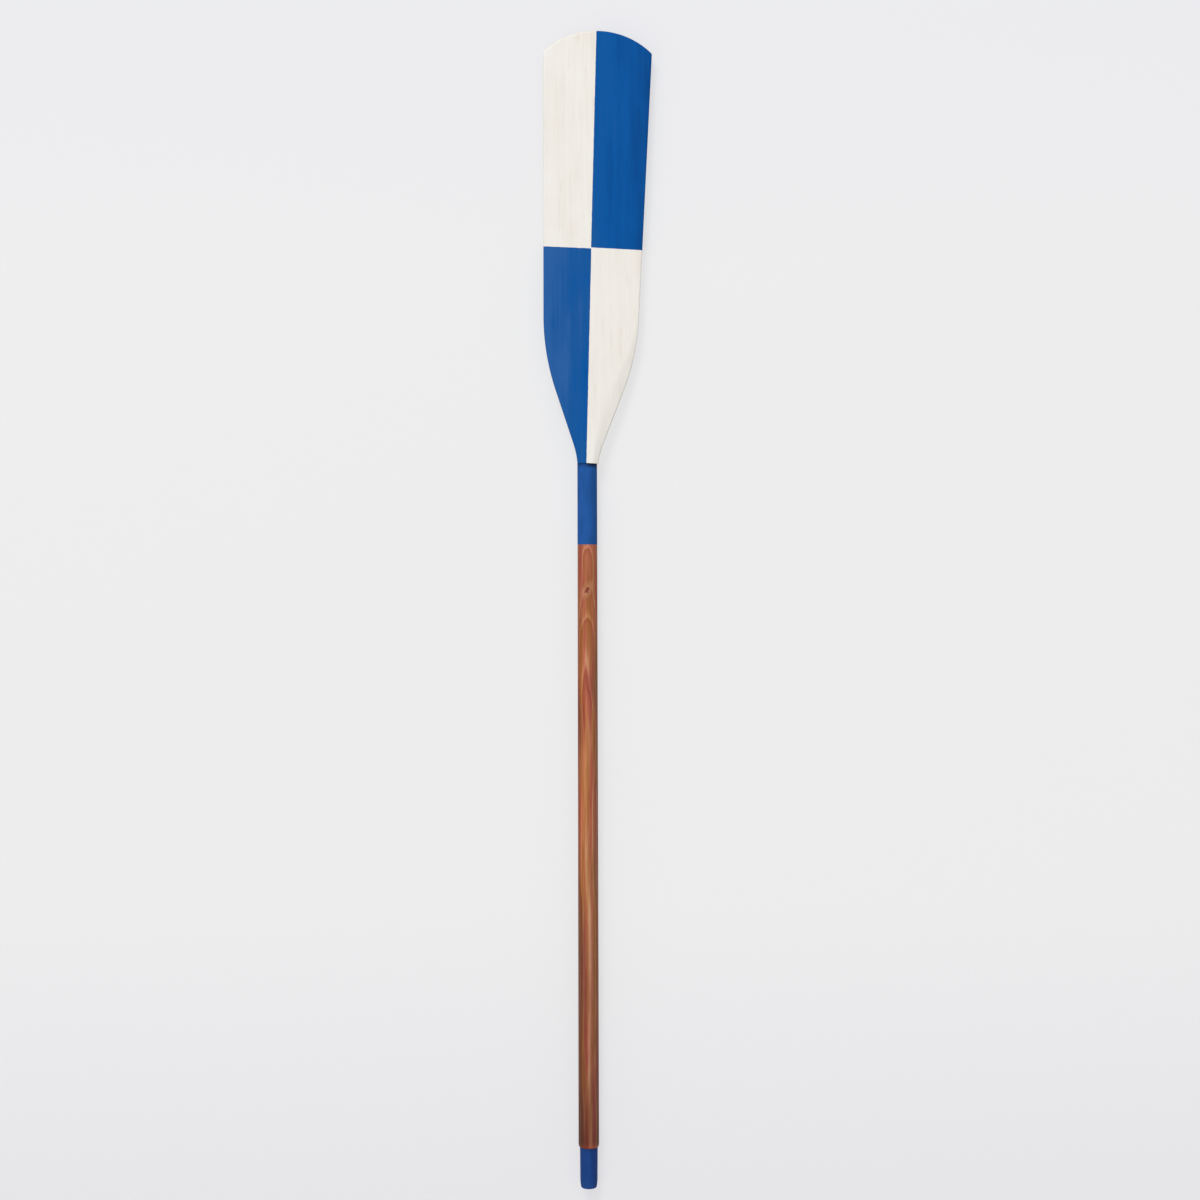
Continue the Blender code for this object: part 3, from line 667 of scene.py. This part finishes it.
def brushed_blue(name, shades, corner, corner_shade):
    """The blade's blue oil paint on a turned part, brushed along it, with bristle lines 1 mm apart
    and slow changes of tone. It carries painted shade that darkens it to the right. Under the
    corner, at that height, a painted shadow turns it by the share corner_shade to a blue that is
    nearly black."""
    made, tree = new_finish(name)
    place = add(tree, "ShaderNodeTexCoord").outputs["Object"]
    bristles = add(tree, "ShaderNodeMapping", {"Vector": place, "Scale": TURNED_BRISTLES})
    bristles = add(tree, "ShaderNodeTexNoise",
                   {"Vector": bristles, "Scale": 1.0, "Detail": 3.0, "Roughness": 0.55})
    cloud = add(tree, "ShaderNodeMapping", {"Vector": place, "Scale": TURNED_CLOUDS})
    cloud = add(tree, "ShaderNodeTexNoise", {"Vector": cloud, "Scale": 1.0, "Detail": 2.0})
    tone = add(tree, "ShaderNodeMix",
               {0: 0.4, 2: cloud.outputs["Fac"], 3: bristles.outputs["Fac"]})
    parts = add(tree, "ShaderNodeSeparateXYZ", {"Vector": place})
    # painted shade: the tone is lowered towards the right side
    right_shade = add(tree, "ShaderNodeMapRange",
                 {"Value": parts.outputs["X"], "From Min": 0.0, "From Max": RIGHT_SHADE_SIDE,
                  "To Max": -0.2})
    tone = add(tree, "ShaderNodeMath", {0: tone, 1: right_shade}, operation="ADD")
    colour = add(tree, "ShaderNodeValToRGB", {"Fac": tone}, stops=shades)
    # painted shadow under the corner: a nearly black blue, weaker on the left
    most = add(tree, "ShaderNodeMapRange",
               {"Value": parts.outputs["X"], "From Min": CORNER_SHADE_ACROSS[0],
                "From Max": CORNER_SHADE_ACROSS[1], "To Min": CORNER_SHADE_LEFT * corner_shade,
                "To Max": corner_shade})
    painted_corner_shade = add(tree, "ShaderNodeMapRange",
                {"Value": parts.outputs["Z"], "From Min": corner - CORNER_SHADE_TO,
                 "From Max": corner - CORNER_SHADE_FULL, "To Max": most})
    colour = add(tree, "ShaderNodeMix", {0: painted_corner_shade, 6: colour, 7: linear(0x0A1A3A)},
                 data_type="RGBA")
    bump = add(tree, "ShaderNodeBump",
               {"Strength": 0.5, "Distance": 0.00008, "Height": bristles.outputs["Fac"]})
    gloss = add(tree, "ShaderNodeMapRange",
                {"Value": tone, "From Min": 0.3, "From Max": 0.7, "To Min": 0.60, "To Max": 0.50})
    shader = add(tree, "ShaderNodeBsdfPrincipled",
                 {"Base Color": colour, "Roughness": gloss, "Normal": bump,
                  "Specular IOR Level": 0.12})
    add(tree, "ShaderNodeOutputMaterial", {"Surface": shader})
    return made


def of_bare_pine(name, shape):
    """A closed shape as an object of bare pine."""
    mesh = bpy.data.meshes.new(name)
    shape.to_mesh(mesh)
    shape.free()
    mesh.materials.append(BARE_PINE)
    made = bpy.data.objects.new(name, mesh)
    bpy.context.scene.collection.objects.link(made)
    return made


def slab(name, left, right):
    """A block between two X planes that reaches past the blade on every other side."""
    shape = bmesh.new()
    low = Vector((left, -CUT_MARGIN, -CUT_MARGIN))
    high = Vector((right, CUT_MARGIN, BLADE_LENGTH + CUT_MARGIN))
    place = Matrix.Translation((low + high) / 2) @ Matrix.Diagonal((*(high - low), 1.0))
    bmesh.ops.create_cube(shape, size=1.0, matrix=place)
    return of_bare_pine(name, shape)


def drill(number, height):
    """The hole of one dowel, across the blade."""
    shape = bmesh.new()
    place = Matrix.Translation((0.0, 0.0, height)) @ Matrix.Rotation(math.pi / 2, 4, "Y")
    bmesh.ops.create_cone(shape, cap_ends=True, segments=DRILL_SIDES, radius1=DRILL_RADIUS,
                          radius2=DRILL_RADIUS, depth=DRILL_LENGTH, matrix=place)
    return of_bare_pine(f"dowel_hole_{number}", shape)


def shape_by(piece, steps):
    """Cuts, trims or joins a piece by other closed shapes, one after another."""
    for operation, tool in steps:
        change = piece.modifiers.new(operation.lower(), "BOOLEAN")
        change.operation = operation
        change.object = tool
        change.solver = "EXACT"
        change.material_mode = "TRANSFER"
    bpy.context.view_layer.update()
    evaluated = piece.evaluated_get(bpy.context.evaluated_depsgraph_get())
    mesh = bpy.data.meshes.new_from_object(evaluated)
    piece.modifiers.clear()
    piece.data = mesh
    mesh.name = piece.name
    mesh.shade_smooth()
    mesh.set_sharp_from_angle(angle=SHARP_ANGLE)


BARE_PINE = bare_pine()
STAINED_PINE = stained_pine()
# the neck gets a strong painted shadow under the blade's shoulder, at height 0
NECK_BLUE = brushed_blue("oil_paint_brushed_blue",
                         ((0.32, 0x174B8A), (0.50, 0x1C5298), (0.68, 0x255AA2)), 0.0, 0.9)

ease_top = -LOOM_LENGTH + BUTT_EASE_LENGTH
paint_end = -NECK_PAINT_LENGTH
neck_heights = np.linspace(-NECK_LEAD, paint_end, NECK_ROWS)
wood_heights = np.linspace(paint_end, ease_top, WOOD_ROWS)
swell = (BUTT_RADIUS - NECK_RADIUS) / LOOM_LENGTH
neck = np.column_stack((NECK_RADIUS - swell * neck_heights, neck_heights))
wood = np.column_stack((NECK_RADIUS - PAINT_FILM - swell * wood_heights, wood_heights))
top = np.array([(0.0, UNION_OVERLAP), (NECK_RADIUS, UNION_OVERLAP)])
butt = eased(wood[-1, 0], BUTT_EASE_DEPTH, ease_top, BUTT_EASE_LENGTH)[1:]
bore = np.array([(BORE_RADIUS, -LOOM_LENGTH), (BORE_RADIUS, BORE_DEPTH - LOOM_LENGTH),
                 (0.0, BORE_DEPTH - LOOM_LENGTH)])
profile = np.concatenate((top, neck, wood, butt, bore))
slots = np.array([0] * (len(top) + len(neck) - 1) + [1] * (len(wood) + len(butt) + 1)
                 + [2] * (len(bore) - 1))
loom = turned("turned_loom", profile, [NECK_BLUE, STAINED_PINE, BARE_PINE], slots)

drills = [drill(number, height) for number, height in enumerate(DOWEL_HEIGHTS, start=1)]
spine = slab("spine", -SPINE_HALF, SPINE_HALF)
shape_by(spine, [("INTERSECT", faired_blade)])
shape_by(loom, [("UNION", spine)] + [("DIFFERENCE", hole) for hole in drills])
bpy.data.objects.remove(spine)
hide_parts("loom")
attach(loom, "root")

# The cheeks
# The pine boards on both sides of the spine, sawn and faired to the blade's outline. The glue line
# is closed and painted over, so that nothing parts them from the spine to the eye.

GLUE_LINE = 0.000005

for name, side, node, finish in (("left_cheek", -1, "blade_cheek_left", "white_paint"),
                                 ("right_cheek", 1, "blade_cheek_right", "blue_paint")):
    inner, outer = side * (SPINE_HALF + GLUE_LINE), side * TIP_WIDTH
    cheek = slab(name, min(inner, outer), max(inner, outer))
    shape_by(cheek, [("INTERSECT", faired_blade)] + [("DIFFERENCE", hole) for hole in drills])
    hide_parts(node)
    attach(cheek, "root")

for tool in [faired_blade, *drills]:
    bpy.data.objects.remove(tool)

# The dowels
# Four turned beech pins, driven across the spine into both cheeks before the blade is faired. They
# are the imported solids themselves, out of sight in their holes.


def turned_beech():
    """Beech rod, pale pink-brown, with the short dark flecks of its rays about 1 mm long."""
    made, tree = new_finish("beech_turned_bare")
    place = add(tree, "ShaderNodeTexCoord").outputs["Object"]
    stretched = add(tree, "ShaderNodeMapping", {"Vector": place, "Scale": (90.0, 900.0, 900.0)})
    flecks = add(tree, "ShaderNodeTexNoise", {"Vector": stretched, "Scale": 1.0, "Detail": 2.0})
    colour = add(tree, "ShaderNodeValToRGB", {"Fac": flecks.outputs["Fac"]},
                 stops=((0.38, 0xB9865A), (0.50, 0xCFA273), (0.66, 0xDAB38A)))
    bump = add(tree, "ShaderNodeBump",
               {"Strength": 0.3, "Distance": 0.0001, "Height": flecks.outputs["Fac"]})
    shader = add(tree, "ShaderNodeBsdfPrincipled",
                 {"Base Color": colour, "Roughness": 0.62, "Normal": bump})
    add(tree, "ShaderNodeOutputMaterial", {"Surface": shader})
    return made


BEECH = turned_beech()
for number in range(1, len(DOWEL_HEIGHTS) + 1):
    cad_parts[f"blade_dowel_{number}"].material_slots[0].material = BEECH

# The grip
# A separate turned handle, painted blue, with a spigot glued into the loom's bored butt. It tapers
# a little, is eased towards its end and has a small round at the rim.

GRIP_LENGTH = 0.0555
GRIP_RADIUS = 0.0121
GRIP_END_RADIUS = 0.0118
GRIP_EASE_LENGTH = 0.0110
GRIP_EASE_DEPTH = 0.0010
GRIP_ROUND = 0.0025
SPIGOT_RADIUS = 0.0070
SPIGOT_LENGTH = 0.0600
SPIGOT_CHAMFER = 0.0010
SEAM = 0.0003
SEAM_ROUND = 0.0003
SEAM_STEPS = 4
BODY_STEPS = 12

# the grip's blue is the neck's paint in darker shades, as painted shade where less light reaches
# the butt, with a weak painted shadow under the loom's butt
GRIP_BLUE = brushed_blue("oil_paint_brushed_blue_darkened_as_painted_shade",
                         ((0.32, 0x113673), (0.50, 0x163E7E), (0.68, 0x1D4789)),
                         -LOOM_LENGTH, 0.25)

spigot = np.array([(0.0, SPIGOT_LENGTH), (SPIGOT_RADIUS - SPIGOT_CHAMFER, SPIGOT_LENGTH),
                   (SPIGOT_RADIUS, SPIGOT_LENGTH - SPIGOT_CHAMFER), (SPIGOT_RADIUS, -SEAM)])
shoulder = eased(GRIP_RADIUS, SEAM_ROUND, 0.0, SEAM_ROUND, SEAM_STEPS)[::-1] * (1, -1)
shoulder[:, 1] += -SEAM - SEAM_ROUND
ease_top = -GRIP_LENGTH + GRIP_ROUND + GRIP_EASE_LENGTH
share = np.linspace(0.0, 1.0, BODY_STEPS + 1)[:-1]
body = np.column_stack((GRIP_RADIUS + (GRIP_END_RADIUS - GRIP_RADIUS) * share,
                        shoulder[-1, 1] + (ease_top - shoulder[-1, 1]) * share))[1:]
ease = np.column_stack((GRIP_END_RADIUS - GRIP_EASE_DEPTH * share ** 2,
                        ease_top - GRIP_EASE_LENGTH * share))
rim = eased(GRIP_END_RADIUS - GRIP_EASE_DEPTH, GRIP_ROUND, -GRIP_LENGTH + GRIP_ROUND, GRIP_ROUND)
end = np.array([(0.0, -GRIP_LENGTH)])
profile = np.concatenate((spigot, shoulder, body, ease, rim, end))
profile[:, 1] -= LOOM_LENGTH
slots = np.where(np.arange(len(profile) - 1) < len(spigot) - 1, 1, 0)
grip = turned("turned_grip", profile, [GRIP_BLUE, BARE_PINE], slots)
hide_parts("grip")
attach(grip, "root")

# The room
# A plain pale wall close behind the hanging oar and a plain pale floor below it. The wall has one
# side: from behind, and for light that comes off the oar, it is clear.

WALL_PLACE = 0.0145
WALL_HALF = 1.5
WALL_SHADE_HEIGHTS = (-1.0, 0.6)
WALL_OWN_SHARE = 0.76
FLOOR_HEIGHT = -1.06
FLOOR_HALF = 15.0
FLOOR_OWN_SHARE = 0.5


def flat_sheet(name, corners, finish):
    """A flat rectangle through four corners."""
    mesh = bpy.data.meshes.new(name)
    mesh.from_pydata(corners, [], [(0, 1, 2, 3)])
    mesh.materials.append(finish)
    sheet = bpy.data.objects.new(name, mesh)
    bpy.context.scene.collection.objects.link(sheet)


def wall_paint():
    """Matt pale grey emulsion. Part of its tone is its own, so that the oar's shadow stays soft.
    That tone is a little darker towards the floor and at the top: painted shade.
    """
    made, tree = new_finish("emulsion_matt_pale_grey")
    front = add(tree, "ShaderNodeMath",
                {0: 1.0, 1: add(tree, "ShaderNodeNewGeometry").outputs["Backfacing"]},
                operation="SUBTRACT")
    seen = add(tree, "ShaderNodeMath",
               {0: add(tree, "ShaderNodeLightPath").outputs["Is Camera Ray"], 1: front},
               operation="MULTIPLY")
    place = add(tree, "ShaderNodeTexCoord").outputs["Object"]
    # painted shade: the wall's tone darkens towards the floor and a little at the top
    height = add(tree, "ShaderNodeMapRange",
                 {"Value": add(tree, "ShaderNodeSeparateXYZ", {"Vector": place}).outputs["Z"],
                  "From Min": WALL_SHADE_HEIGHTS[0], "From Max": WALL_SHADE_HEIGHTS[1]})
    grey = add(tree, "ShaderNodeValToRGB", {"Fac": height},
               stops=((0.00, 0xE7E7EA), (0.25, 0xECECED), (0.80, 0xECECED), (1.00, 0xEAEAED)))
    matt = add(tree, "ShaderNodeBsdfDiffuse", {"Color": grey})
    tone = add(tree, "ShaderNodeEmission", {"Color": grey, "Strength": 1.0})
    paint = add(tree, "ShaderNodeMixShader", {0: WALL_OWN_SHARE, 1: matt, 2: tone})
    clear = add(tree, "ShaderNodeBsdfTransparent")
    surface = add(tree, "ShaderNodeMixShader", {0: seen, 1: clear, 2: paint})
    add(tree, "ShaderNodeOutputMaterial", {"Surface": surface})
    return made


def floor_paint():
    """Matt pale grey floor paint that keeps the oar's shadow. Half of its tone is its own, so that
    it stays pale far from the window."""
    made, tree = new_finish("floor_paint_matt_pale_grey")
    place = add(tree, "ShaderNodeTexCoord").outputs["Object"]
    cloud = add(tree, "ShaderNodeTexNoise", {"Vector": place, "Scale": 1.5, "Detail": 2.0})
    colour = add(tree, "ShaderNodeValToRGB", {"Fac": cloud.outputs["Fac"]},
                 stops=((0.30, 0xE6E6E5), (0.70, 0xEAEAE9)))
    seen = add(tree, "ShaderNodeMath",
               {0: add(tree, "ShaderNodeLightPath").outputs["Is Camera Ray"],
                1: FLOOR_OWN_SHARE}, operation="MULTIPLY")
    matt = add(tree, "ShaderNodeBsdfDiffuse", {"Color": colour})
    tone = add(tree, "ShaderNodeEmission", {"Color": colour, "Strength": 1.0})
    surface = add(tree, "ShaderNodeMixShader", {0: seen, 1: matt, 2: tone})
    add(tree, "ShaderNodeOutputMaterial", {"Surface": surface})
    return made


flat_sheet("wall", [(-WALL_HALF, WALL_PLACE, FLOOR_HEIGHT), (WALL_HALF, WALL_PLACE, FLOOR_HEIGHT),
                    (WALL_HALF, WALL_PLACE, WALL_HALF), (-WALL_HALF, WALL_PLACE, WALL_HALF)],
           wall_paint())
flat_sheet("floor", [(across * FLOOR_HALF, away * FLOOR_HALF, FLOOR_HEIGHT)
                     for across, away in ((-1, -1), (1, -1), (1, 1), (-1, 1))],
           floor_paint())

# The light
# A soft pale room, and one large soft window to the upper left of the viewer. The room gives glossy
# surfaces half of what it gives dull ones, and the eye sees it as plain pale grey.

ROOM_STRENGTH = 0.60
MIRRORED_STRENGTH = 0.30
WINDOW_SIZE = 2.9
WINDOW_POWER = 478.0
WINDOW_PLACE = (-2.2, -6.8, 6.3)
WINDOW_AIM = Vector((0.0, 0.0, -0.15))

world = bpy.data.worlds.new("pale_room")
bpy.context.scene.world = world
world.use_nodes = True
tree = world.node_tree
tree.nodes.clear()
path = add(tree, "ShaderNodeLightPath")
room = add(tree, "ShaderNodeBackground", {"Color": linear(0xFFFFFF), "Strength": ROOM_STRENGTH})
mirrored = add(tree, "ShaderNodeBackground",
               {"Color": linear(0xFFFFFF), "Strength": MIRRORED_STRENGTH})
backdrop = add(tree, "ShaderNodeBackground", {"Color": linear(0xEEEEEE), "Strength": 1.0})
shown = add(tree, "ShaderNodeMixShader", {0: path.outputs["Is Glossy Ray"], 1: room, 2: mirrored})
shown = add(tree, "ShaderNodeMixShader", {0: path.outputs["Is Camera Ray"], 1: shown, 2: backdrop})
add(tree, "ShaderNodeOutputWorld", {"Surface": shown})

window = bpy.data.lights.new("window", "AREA")
window.shape = "RECTANGLE"
window.size = WINDOW_SIZE
window.size_y = WINDOW_SIZE
window.energy = WINDOW_POWER
lamp = bpy.data.objects.new("window", window)
bpy.context.scene.collection.objects.link(lamp)
lamp.location = WINDOW_PLACE
lamp.rotation_euler = (WINDOW_AIM - lamp.location).to_track_quat("-Z", "Y").to_euler()

# The camera
# It stands straight in front of the oar's middle, 2.8 m off, and is rolled by a hair, because the
# photograph's loom isn't quite upright in its frame.

CAMERA_PLACE = (0.0170, -2.8055, -0.1855)
CAMERA_ROLL = math.radians(-0.140)
SENSOR_WIDTH = 36.0
FOCAL_LENGTH = 61.8

view = bpy.data.cameras.new("camera")
view.sensor_width = SENSOR_WIDTH
view.lens = FOCAL_LENGTH
camera = bpy.data.objects.new("camera", view)
bpy.context.scene.collection.objects.link(camera)
camera.matrix_world = (Matrix.Translation(CAMERA_PLACE) @ Matrix.Rotation(math.pi / 2, 4, "X")
                       @ Matrix.Rotation(CAMERA_ROLL, 4, "Z"))
bpy.context.scene.camera = camera
bpy.context.scene.view_settings.view_transform = "Standard"
